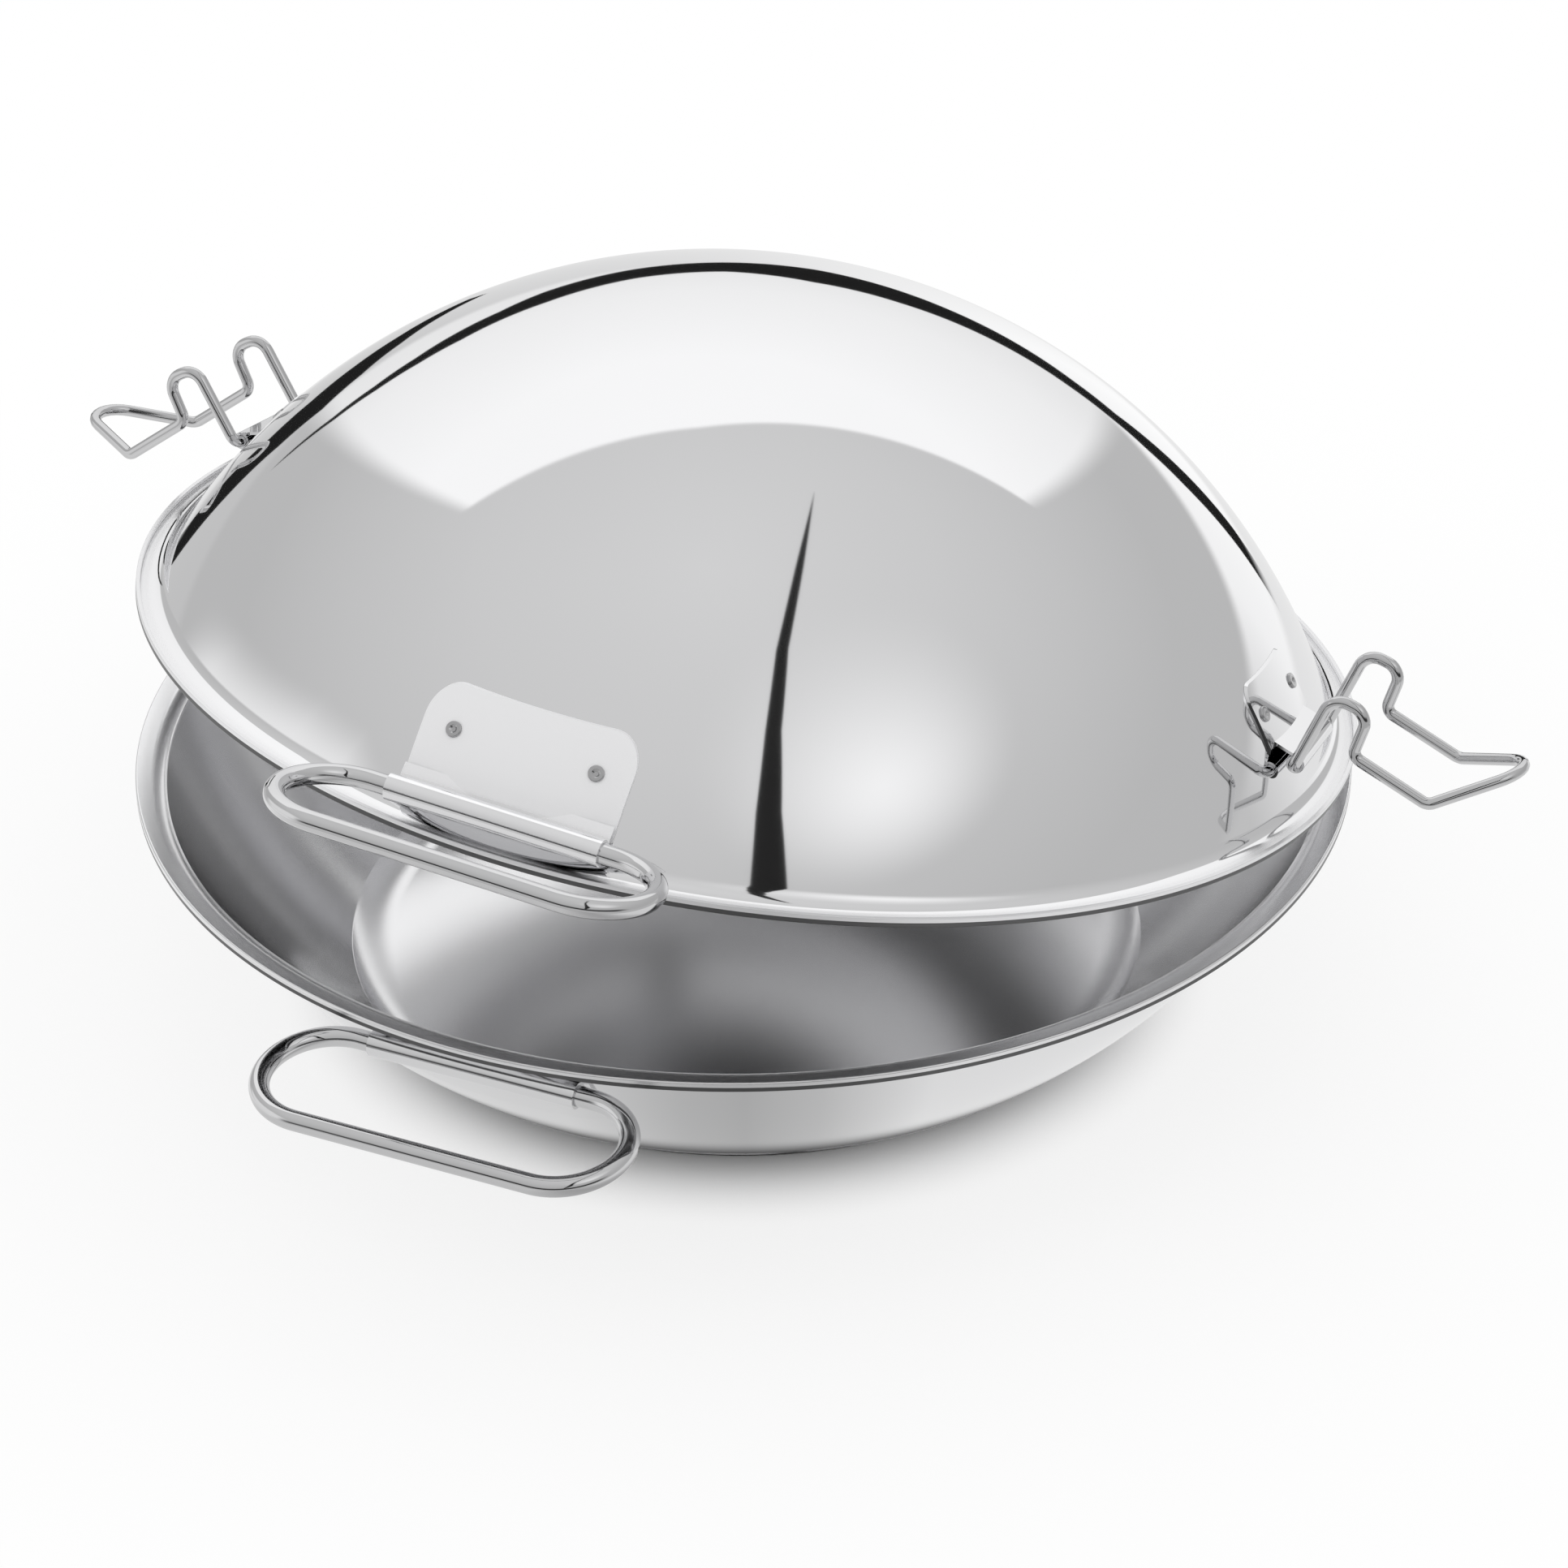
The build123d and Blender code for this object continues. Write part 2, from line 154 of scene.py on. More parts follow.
def rounded(chain, steps=7):
    """The chain of (out, depth, rounding) with each rounded corner as short steps."""
    points = []
    for index, (x, y, rounding) in enumerate(chain):
        corner = Vector((x, y))
        if not rounding:
            points.append(corner)
            continue
        back = (Vector(chain[index - 1][:2]) - corner).normalized()
        ahead = (Vector(chain[index + 1][:2]) - corner).normalized()
        half_angle = back.angle(ahead) / 2
        middle = corner + (back + ahead).normalized() * rounding / sin(half_angle)
        start = corner + back * rounding / tan(half_angle) - middle
        end = corner + ahead * rounding / tan(half_angle) - middle
        points += [middle + start.lerp(end, s / steps).normalized() * rounding for s in range(steps + 1)]
    return points


def sheet_section(floor_depth=None):
    """From the middle of the outer side, round the lip, to the middle of the inner side."""
    inside_r = DOME_R - SHEET
    reach = RIM_R * cos(SLOPE) + DOME_C * -sin(SLOPE)
    run = reach - sqrt(reach**2 - (RIM_R**2 + DOME_C**2 - inside_r**2))
    neck = (RIM_R - cos(SLOPE) * run, sin(SLOPE) * run)
    outer_end = pi / 2 if floor_depth is None else asin((floor_depth + DOME_C) / DOME_R)
    inner_end = pi / 2 if floor_depth is None else asin((floor_depth - SHEET + DOME_C) / inside_r)
    outer = wall(DOME_R, (WALL_R, WALL_DEPTH), outer_end, WALL_STEPS)
    inner = wall(inside_r, neck, inner_end, WALL_STEPS)
    if floor_depth is not None:
        outer[-1] = (*outer[-1][:2], FLOOR_ROUNDING)
        inner[-1] = (*inner[-1][:2], FLOOR_ROUNDING - SHEET)
        outer += [(x, floor_depth, 0) for x in FLOOR_STEPS]
        inner += [(x, floor_depth - SHEET, 0) for x in FLOOR_STEPS]
    lip_top = SHEET * tan(SLOPE) + SHEET / cos(SLOPE)
    rim = [(WALL_R, WALL_DEPTH, NECK_ROUNDING),
           (WALL_R + OUTER_HOLD, WALL_DEPTH - OUTER_HOLD * tan(SLOPE), 0),
           (RIM_R - SHEET, lip_top, LIP_INNER_ROUNDING), (RIM_R - SHEET, LIP, EDGE_ROUNDING),
           (RIM_R, LIP, EDGE_ROUNDING), (RIM_R, 0, LIP_ROUNDING),
           (RIM_R - INNER_HOLD * cos(SLOPE), INNER_HOLD * sin(SLOPE), 0), (*neck, NECK_ROUNDING + SHEET)]
    points = rounded([*reversed(outer), *rim, *inner])
    edge = min(range(len(points)), key=lambda i: (points[i] - Vector((RIM_R, 0))).length)
    return points, [float(index > edge) for index in range(len(points))]


for half, depth in (("lid", None), ("pan", FLOOR_DEPTH)):
    print(half, "section:", len(sheet_section(depth)[0]), "points")

# %% [markdown]
# ## Geometry Nodes that spin, bend and repeat
# Three trees make nearly all the pieces. One spins a section into sheet, one bends a chain of corners
# into wire, one sets the same rivet at every seat. Each reads a light mesh of plain points and edges,
# whose attributes carry what belongs to a point: the side of the sheet, or the radius of a bend.
# The results are turned into plain meshes at the end, because an exported model can't hold a tree.

# %% Tree helpers
GEOMETRY, OBJECT = "NodeSocketGeometry", "NodeSocketObject"
INTEGER, MATERIAL = "NodeSocketInt", "NodeSocketMaterial"
VALUE, VECTOR = "NodeSocketFloat", "NodeSocketVector"


def chain_mesh(name, points, attributes=None, closed=False):
    """A mesh of points joined by edges, in metres, with a named attribute for each list given."""
    edges = [(i, i + 1) for i in range(len(points) - 1)]
    if closed:
        edges.append((len(points) - 1, 0))
    mesh = bpy.data.meshes.new(name)
    mesh.from_pydata(points, edges, [])
    for title, values in (attributes or {}).items():
        kind = "FLOAT_VECTOR" if hasattr(values[0], "__len__") else "FLOAT"
        layer = mesh.attributes.new(title, kind, "POINT")
        for item, value in zip(layer.data, values):
            if kind == "FLOAT":
                item.value = value
            else:
                item.vector = value
    return mesh


def grow(name, mesh, tree, inputs):
    """Runs a geometry tree on a mesh and returns the plain mesh that it makes."""
    source = bpy.data.objects.new(name + "_source", mesh)
    bpy.context.scene.collection.objects.link(source)
    modifier = source.modifiers.new(name, "NODES")
    modifier.node_group = tree
    for item in tree.interface.items_tree:
        if item.item_type == "SOCKET" and item.in_out == "INPUT" and item.name in inputs:
            modifier[item.identifier] = inputs[item.name]
    evaluated = source.evaluated_get(bpy.context.evaluated_depsgraph_get())
    made = bpy.data.meshes.new_from_object(evaluated)
    made.name = name
    bpy.data.objects.remove(source)
    return made


def show(name, mesh, body, slot, *nodes):
    """Puts a finished mesh in the scene, riding on its body in place of its CAD nodes."""
    piece = bpy.data.objects.new(name, mesh)
    bpy.context.scene.collection.objects.link(piece)
    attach(piece, body)
    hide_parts(*nodes)
    print(name, "triangles:", sum(len(p.vertices) - 2 for p in mesh.polygons))
    return piece


print("helpers: chain_mesh, grow, show")

# %% Tree: a section spun into sheet
SPIN_START = 0.001
spin, given, result = new_group(
    "spun_sheet", "GeometryNodeTree",
    [("Section", GEOMETRY, None), ("Steps round", INTEGER, 256), ("Outside", MATERIAL, None),
     ("Inside", MATERIAL, None)],
    [("Sheet", GEOMETRY)],
)
drawn_place = add_node(spin, "GeometryNodeInputPosition").outputs["Position"]
corner = add_node(spin, "ShaderNodeSeparateXYZ", {0: drawn_place})
out_of_axis = math(spin, "SUBTRACT", corner.outputs["X"], SPIN_START)
downwards = math(spin, "MULTIPLY", corner.outputs["Z"], -1.0)
laid = add_node(spin, "ShaderNodeCombineXYZ", {0: out_of_axis, 1: downwards}).outputs[0]
section = add_node(spin, "GeometryNodeSetPosition", {"Geometry": given["Section"], "Position": laid})
section_line = add_node(spin, "GeometryNodeMeshToCurve", {"Mesh": section.outputs[0]})
circle = add_node(spin, "GeometryNodeCurvePrimitiveCircle", {
    "Resolution": given["Steps round"], "Radius": SPIN_START})
upright = add_node(spin, "GeometryNodeSetCurveNormal", {"Curve": circle.outputs["Curve"]}, mode="Z_UP")
turned = add_node(spin, "GeometryNodeCurveToMesh", {
    "Curve": upright.outputs["Curve"], "Profile Curve": section_line.outputs["Curve"]})
closed = add_node(spin, "GeometryNodeMergeByDistance", {
    "Geometry": turned.outputs["Mesh"], "Distance": 1e-5})
smooth = add_node(spin, "GeometryNodeSetShadeSmooth", {"Geometry": closed.outputs["Geometry"]})
dressed = add_node(spin, "GeometryNodeSetMaterial", {
    "Geometry": smooth.outputs["Geometry"], "Material": given["Outside"]})
inner = add_node(spin, "GeometryNodeInputNamedAttribute", {"Name": "inner"}, data_type="FLOAT")
inner_side = math(spin, "GREATER_THAN", inner.outputs["Attribute"], 0.5)
lined = add_node(spin, "GeometryNodeSetMaterial", {
    "Geometry": dressed.outputs["Geometry"], "Selection": inner_side, "Material": given["Inside"]})
real = add_node(spin, "GeometryNodeRealizeInstances", {"Geometry": lined.outputs["Geometry"]})
spin.links.new(real.outputs["Geometry"], result["Sheet"])
print("tree:", spin.name)

# %% Tree: corners bent into wire
bend, given, result = new_group(
    "bent_wire", "GeometryNodeTree",
    [("Corners", GEOMETRY, None), ("Wire radius", VALUE, 0.0025), ("Steps round", INTEGER, 32),
     ("Steps per bend", INTEGER, 14), ("Finish", MATERIAL, None)],
    [("Wire", GEOMETRY)],
)
straight = add_node(bend, "GeometryNodeMeshToCurve", {"Mesh": given["Corners"]})
bend_radius = add_node(bend, "GeometryNodeInputNamedAttribute", {"Name": "bend"}, data_type="FLOAT")
bent = add_node(bend, "GeometryNodeFilletCurve", {
    "Curve": straight.outputs["Curve"], "Count": given["Steps per bend"],
    "Radius": bend_radius.outputs[0], "Limit Radius": True}, mode="POLY")
round_section = add_node(bend, "GeometryNodeCurvePrimitiveCircle", {
    "Resolution": given["Steps round"], "Radius": given["Wire radius"]})
drawn = add_node(bend, "GeometryNodeCurveToMesh", {
    "Curve": bent.outputs["Curve"], "Profile Curve": round_section.outputs["Curve"], "Fill Caps": True})
joined = add_node(bend, "GeometryNodeMergeByDistance", {
    "Geometry": drawn.outputs["Mesh"], "Distance": 1e-6})
smooth = add_node(bend, "GeometryNodeSetShadeSmooth", {"Geometry": joined.outputs["Geometry"]})
finished = add_node(bend, "GeometryNodeSetMaterial", {
    "Geometry": smooth.outputs["Geometry"], "Material": given["Finish"]})
real = add_node(bend, "GeometryNodeRealizeInstances", {"Geometry": finished.outputs["Geometry"]})
bend.links.new(real.outputs["Geometry"], result["Wire"])
print("tree:", bend.name)

# %% Tree: one rivet at every seat
seat_rivets, given, result = new_group(
    "seated_rivets", "GeometryNodeTree",
    [("Seats", GEOMETRY, None), ("Rivet", OBJECT, None), ("Finish", MATERIAL, None)],
    [("Rivets", GEOMETRY)],
)
facing = add_node(seat_rivets, "GeometryNodeInputNamedAttribute", {"Name": "facing"},
                  data_type="FLOAT_VECTOR")
aimed = add_node(seat_rivets, "FunctionNodeAlignRotationToVector", {"Vector": facing.outputs[0]}, axis="Z")
rivet_shape = add_node(seat_rivets, "GeometryNodeObjectInfo", {"Object": given["Rivet"]})
placed = add_node(seat_rivets, "GeometryNodeInstanceOnPoints", {
    "Points": given["Seats"], "Instance": rivet_shape.outputs["Geometry"], "Rotation": aimed.outputs[0]})
real = add_node(seat_rivets, "GeometryNodeRealizeInstances", {"Geometry": placed.outputs["Instances"]})
finished = add_node(seat_rivets, "GeometryNodeSetMaterial", {
    "Geometry": real.outputs["Geometry"], "Material": given["Finish"]})
seat_rivets.links.new(finished.outputs["Geometry"], result["Rivets"])
print("tree:", seat_rivets.name)

# %% [markdown]
# ## Steel, seen close up
# Bare steel differs from piece to piece by how it was finished: spun bowls carry rings round their
# axis, rolled sheet carries straight brush lines, and everything handled carries a faint haze. Each of
# those is a group, built once, that puts out a value which varies over the surface. They are given a
# place on the piece as it was made, before the lid was swung open, so that rings stay rings.

# %% Helpers for vectors
def vector_math(tree, operation, first, second=None, **values):
    """A Vector Math node on up to two vectors, as its outputs."""
    sockets = {0: first} if second is None else {0: first, 1: second}
    return add_node(tree, "ShaderNodeVectorMath", {**sockets, **values}, operation=operation).outputs


def from_axis(tree, position):
    """The direction and the distance of a place from the upright axis, and its height."""
    split = add_node(tree, "ShaderNodeSeparateXYZ", {0: position}).outputs
    flat = add_node(tree, "ShaderNodeCombineXYZ", {0: split["X"], 1: split["Y"]}).outputs[0]
    return vector_math(tree, "NORMALIZE", flat)[0], vector_math(tree, "LENGTH", flat)["Value"], split["Z"]


print("helpers: vector_math, from_axis")

# %% Group: rings left by spinning a bowl
rings, given, result = new_group(
    "spun_rings", "ShaderNodeTree",
    [("Position", VECTOR, None), ("Per metre", VALUE, 900.0), ("Along", VALUE, 4.0)], [("Height", VALUE)])
around, radius, height = from_axis(rings, given["Position"])
spread = vector_math(rings, "SCALE", around, Scale=given["Along"])[0]
ring_number = math(rings, "MULTIPLY", math(rings, "SUBTRACT", radius, height), given["Per metre"])
ring_lift = add_node(rings, "ShaderNodeCombineXYZ", {2: ring_number}).outputs[0]
ring_place = vector_math(rings, "ADD", spread, ring_lift)[0]
ring_noise = add_node(rings, "ShaderNodeTexNoise", {
    "Vector": ring_place, "Scale": 1.0, "Detail": 3.0, "Roughness": 0.6})
rings.links.new(ring_noise.outputs["Fac"], result["Height"])
print("group:", rings.name)

# %% Group: straight brush lines of rolled sheet
brush, given, result = new_group(
    "brush_lines", "ShaderNodeTree",
    [("Position", VECTOR, None), ("Per metre", VALUE, 2500.0), ("Along", VALUE, 40.0)], [("Height", VALUE)])
stretch = add_node(brush, "ShaderNodeCombineXYZ", {
    0: given["Along"], 1: given["Along"], 2: given["Per metre"]}).outputs[0]
brush_place = vector_math(brush, "MULTIPLY", given["Position"], stretch)[0]
brush_noise = add_node(brush, "ShaderNodeTexNoise", {
    "Vector": brush_place, "Scale": 1.0, "Detail": 4.0, "Roughness": 0.65})
brush.links.new(brush_noise.outputs["Fac"], result["Height"])
print("group:", brush.name)

# %% Group: haze of handling
haze, given, result = new_group(
    "handling_haze", "ShaderNodeTree",
    [("Position", VECTOR, None), ("Clean", VALUE, 0.05), ("Hazy", VALUE, 0.12), ("Per metre", VALUE, 14.0)],
    [("Roughness", VALUE), ("Mask", VALUE)])
cloud = add_node(haze, "ShaderNodeTexNoise", {
    "Vector": given["Position"], "Scale": given["Per metre"], "Detail": 2.0, "Roughness": 0.4})
amount = add_node(haze, "ShaderNodeMapRange", {
    "Value": cloud.outputs["Fac"], "From Min": 0.2, "From Max": 0.8}).outputs[0]
rough = add_node(haze, "ShaderNodeMix", {"Factor": amount, "A": given["Clean"], "B": given["Hazy"]})
haze.links.new(rough.outputs[0], result["Roughness"])
haze.links.new(amount, result["Mask"])
print("group:", haze.name)

# %% [markdown]
# ## Edges and rolled tubes
# The flange is worn dull where the halves meet, and a dark line is painted on the turned edge of each
# lip: a painted dark reflection, not the steel's own colour. Both follow from the distance to the axis
# and the height. The tube of a handle's plate is polished bright by the wire and the hand: its mask is
# the distance to the tube's own axis.

# %% Group: wear of the rim, and the painted dark line on the lip
RIM_WEAR_FROM, RIM_WEAR_SOFT = 0.1465, 0.001
LIP_FACE = (0.1488, 0.149)
EDGE_HEIGHTS = (0.0603, 0.0633)  # turned edge of the pan and of the lid
EDGE_REACH = 0.0009
rim_wear_and_painted_lip, given, result = new_group(
    "rim_wear_and_painted_lip", "ShaderNodeTree",
    [("Position", VECTOR, None), ("Roughness", VALUE, 0.05), ("Worn", VALUE, 0.2)],
    [("Roughness", VALUE), ("Lip", VALUE)])
_, radius, height = from_axis(rim_wear_and_painted_lip, given["Position"])
flange = add_node(rim_wear_and_painted_lip, "ShaderNodeMapRange", {
    "Value": radius, "From Min": RIM_WEAR_FROM - RIM_WEAR_SOFT, "From Max": RIM_WEAR_FROM + RIM_WEAR_SOFT},
    interpolation_type="SMOOTHSTEP").outputs[0]
rough = add_node(rim_wear_and_painted_lip, "ShaderNodeMix", {"Factor": flange, "A": given["Roughness"], "B": given["Worn"]})
# The lip's outer face near its turned edge gets a painted dark reflection: a mask that darkens the colour.
lip_face = add_node(rim_wear_and_painted_lip, "ShaderNodeMapRange", {
    "Value": radius, "From Min": LIP_FACE[0], "From Max": LIP_FACE[1]})
edges = [math(rim_wear_and_painted_lip, "COMPARE", height, middle, EDGE_REACH) for middle in EDGE_HEIGHTS]
lip = math(rim_wear_and_painted_lip, "MULTIPLY", lip_face.outputs[0], math(rim_wear_and_painted_lip, "ADD", *edges))
rim_wear_and_painted_lip.links.new(rough.outputs[0], result["Roughness"])
rim_wear_and_painted_lip.links.new(lip, result["Lip"])
print("group:", rim_wear_and_painted_lip.name)

# %% Group: the polished tube of a plate
TUBE_SOFT = 0.0006
tube_shine, given, result = new_group(
    "tube_shine", "ShaderNodeTree",
    [("Position", VECTOR, None), ("Middle", VECTOR, None), ("Axis", VECTOR, None),
     ("Radius", VALUE, 0.0046)],
    [("Mask", VALUE)])
offset = vector_math(tube_shine, "SUBTRACT", given["Position"], given["Middle"])[0]
across = vector_math(tube_shine, "CROSS_PRODUCT", offset, given["Axis"])[0]
beyond = math(tube_shine, "SUBTRACT", vector_math(tube_shine, "LENGTH", across)["Value"], given["Radius"])
near = add_node(tube_shine, "ShaderNodeMapRange", {
    "Value": beyond, "From Min": TUBE_SOFT, "From Max": 0.0}, interpolation_type="SMOOTHSTEP")
tube_shine.links.new(near.outputs[0], result["Mask"])
print("group:", tube_shine.name)

# %% [markdown]
# ## Steel materials
# The finishes differ in a few numbers: how bright the metal is, how rough it is where clean and where
# hazy, and how deep its marks are. One function builds them all, so each finish reads as one line.
# The marks feed a Bump node, the haze feeds Roughness, and a slight tint of the haze feeds the colour.

# %% Material builder
MICRON = 1e-6
# Grey of the painted dark reflection on the lip.
PAINTED_LIP_TONE = 0.12
TUBE_ROUGH = 0.12


def grouped(tree, group, **values):
    """A group node with links or plain values on its sockets, as its outputs."""
    return add_node(tree, "ShaderNodeGroup", values, node_tree=group).outputs


def blend(tree, mask, below, above):
    """A colour mixed from two, each a socket or a grey."""
    node = add_node(tree, "ShaderNodeMix", data_type="RGBA")
    tree.links.new(mask, node.inputs[0])
    for index, colour in ((6, below), (7, above)):
        if isinstance(colour, bpy.types.NodeSocket):
            tree.links.new(colour, node.inputs[index])
        else:
            node.inputs[index].default_value = (colour, colour, colour * 1.01, 1)
    return node.outputs[2]


def steel(name, tone, clean, hazy, marks, mark_depth, rim=0.0, metallic=1.0, tube=None, kept=False):
    """A bare metal: its grey, roughness where clean and hazy, its marks and their depth.

    rim is the roughness of a worn rim, which also brings the painted dark reflection on the lip; tube the
    middle and axis of a rolled tube that is polished.
    A kept piece has its CAD mesh, and is read by its own coordinates.
    """
    material = bpy.data.materials.new(name)
    material.use_nodes = True
    tree = material.node_tree
    shader = tree.nodes["Principled BSDF"]
    if kept:
        position = add_node(tree, "ShaderNodeTexCoord").outputs["Object"]
    else:
        position = add_node(tree, "ShaderNodeAttribute", attribute_name="as_made").outputs["Vector"]
    rough, mask = grouped(tree, haze, Position=position, Clean=clean, Hazy=hazy)
    colour = blend(tree, mask, tone, tone * 0.98)
    lines = grouped(tree, marks, Position=position)
    bump = add_node(tree, "ShaderNodeBump", {"Distance": mark_depth, "Height": lines["Height"]})
    shader.inputs["Metallic"].default_value = metallic
    if rim:
        # A worn rim also gets the painted dark reflection on its lip.
        rough, lip = grouped(tree, rim_wear_and_painted_lip, Position=position, Roughness=rough, Worn=rim)
        colour = blend(tree, lip, colour, PAINTED_LIP_TONE)
    if tube:
        shine = grouped(tree, tube_shine, Position=position, Middle=tube[0], Axis=tube[1])["Mask"]
        rough = add_node(tree, "ShaderNodeMix", {"Factor": shine, "A": rough, "B": TUBE_ROUGH}).outputs[0]
        bare = add_node(tree, "ShaderNodeMix", {"Factor": shine, "A": metallic, "B": 1.0}).outputs[0]
        tree.links.new(bare, shader.inputs["Metallic"])
    tree.links.new(colour, shader.inputs["Base Color"])
    tree.links.new(rough, shader.inputs["Roughness"])
    tree.links.new(bump.outputs["Normal"], shader.inputs["Normal"])
    return material


print("helpers: grouped, blend, steel")

# %% Finishes: tone, clean, hazy, marks, depth of the marks, then a worn rim with its painted dark lip, and how metallic
MADE_FINISHES = {
    "mirror_steel": (0.86, 0.03, 0.045, rings, 0.01 * MICRON, 0.28),
    "spun_inside": (0.92, 0.15, 0.19, rings, 0.3 * MICRON, 0.25),
    "lid_inside": (0.92, 0.16, 0.20, rings, 0.3 * MICRON, 0.25),
    "satin_steel": (0.84, 0.10, 0.14, rings, 0.2 * MICRON, 0.25),
    "wire_steel": (0.70, 0.04, 0.08, brush, 0.05 * MICRON),
    "spring_steel": (0.62, 0.06, 0.10, brush, 0.05 * MICRON),
    "rivet_steel": (0.50, 0.12, 0.18, brush, 0.3 * MICRON),
}
KEPT_FINISHES = {
    "polished_plate": (0.86, 0.04, 0.07, brush, 0.05 * MICRON),
    # The base cap's near-black grey is painted shade: its low side stands in the shadow at the floor.
    "cap_steel_painted_shade": (0.07, 0.25, 0.35, rings, 1.0 * MICRON),
    "core_aluminium": (0.65, 0.35, 0.45, rings, 2.0 * MICRON),
}
BLASTED_PLATE = (0.93, 0.40, 0.46, brush, 1.0 * MICRON, 0.0, 0.45)
SATIN_PLATE = (0.84, 0.10, 0.16, brush, 0.1 * MICRON)
finish = {name: steel(name, *values) for name, values in MADE_FINISHES.items()}
finish.update({name: steel(name, *values, kept=True) for name, values in KEPT_FINISHES.items()})
print("finishes:", ", ".join(finish))

# %% [markdown]
# ## The two shells
# The lid is made shut and level, and is then swung open by the same joint that will move it later.
# Its place before that swing is kept in the attribute as_made for the finishes to read.

# %% Swing of the lid
hinge = next(joint for joint in frame["joints"] if joint["name"] == "lid_open")
pivot = Vector(hinge["pos_m"])
LID_OPEN = -radians(hinge["range_deg"][0])
LID_SWING = (Matrix.Translation(pivot) @ Matrix.Rotation(LID_OPEN, 4, Vector(hinge["axis"]))
             @ Matrix.Translation(-pivot))
SWING = {"pan": Matrix.Identity(4), "lid": LID_SWING}
SIDE = {"pan": -1, "lid": 1}
MM = 0.001


def mark_as_made(mesh):
    """Keeps each point's place in an attribute that the finishes read."""
    layer = mesh.attributes.new("as_made", "FLOAT_VECTOR", "POINT")
    layer.data.foreach_set("vector", [c for vertex in mesh.vertices for c in vertex.co])


def swing(mesh, half):
    """Marks a mesh that was made shut, then moves it to where its half lies."""
    mark_as_made(mesh)
    mesh.transform(SWING[half])
    return mesh


print("lid swung open by", round(degrees(LID_OPEN), 1), "degrees")

# %% Lid and pan
for half, depth, outside, inside in (("lid", None, "mirror_steel", "lid_inside"),
                                     ("pan", FLOOR_DEPTH, "satin_steel", "spun_inside")):
    points, inner = sheet_section(depth)
    if half == "pan":
        points.reverse()
        inner.reverse()
    spots = [(p.x * MM, 0, (RIM_HEIGHT[half] + SIDE[half] * p.y) * MM) for p in points]
    section = chain_mesh(half + "_section", spots, {"inner": inner})
    sheet = grow(half + "_shell_skin", section, spin, {
        "Steps round": 256, "Outside": finish[outside], "Inside": finish[inside]})
    show(half + "_shell_skin", swing(sheet, half), half, outside, half + "_shell")

# %% [markdown]
# ## Loops and clips
# Both are wire bent round a few corners, so each is a chain of corners with a bend radius at each. The
# loops close on themselves. A clip starts and ends inside its rolled tube, and its two legs meet in a tip.

# %% Places on a half
def spot(half, azimuth, along, depth, out):
    """Millimetres along the rim, into a half's depth and out along an azimuth, as a point in metres."""
    angle = radians(azimuth + TURN[half])
    outwards = Vector((cos(angle), sin(angle), 0))
    into = Vector((0, 0, SIDE[half]))
    rim_middle = Vector((0, 0, RIM_HEIGHT[half]))
    return (rim_middle + outwards * out + into.cross(outwards) * along + into * depth) * MM


FRONT, BACK, RIGHT, LEFT = -90, 90, 1.65, 176
TURN = {"pan": -1.0, "lid": 0.0}  # the pan's handles are turned a little from the lid's
print("front of the pan's rim:", [round(c, 3) for c in spot("pan", FRONT, 0, 0, RIM_R)])

# %% Loop grips
LOOP_TUBE = (145.015, 8.2)
LOOP_ALONG, LOOP_OUT = 89.6, 31.0
LOOP_TILT = radians(4.7)
LOOP_BEND = LOOP_OUT * 0.4985
LOOP_CORNERS = ((-0.5, 0), (0.5, 0), (0.5, 1), (-0.5, 1))
LOOP_WIRE_R = 2.4
for half in ("pan", "lid"):
    for side, azimuth in (("front", FRONT), ("back", BACK)):
        corners = []
        for along, out in LOOP_CORNERS:
            reach = out * LOOP_OUT
            corners.append(spot(half, azimuth, along * LOOP_ALONG, LOOP_TUBE[1] + reach * sin(LOOP_TILT),
                                LOOP_TUBE[0] + reach * cos(LOOP_TILT)))
        name = f"{half}_{side}_loop"
        bends = {"bend": [LOOP_BEND * MM] * len(corners)}
        chain = chain_mesh(name + "_corners", corners, bends, closed=True)
        wire = grow(name + "_wire", chain, bend, {
            "Wire radius": LOOP_WIRE_R * MM, "Steps round": 32, "Steps per bend": 24,
            "Finish": finish["wire_steel"]})
        show(name + "_wire", swing(wire, half), half, "wire_steel", name)

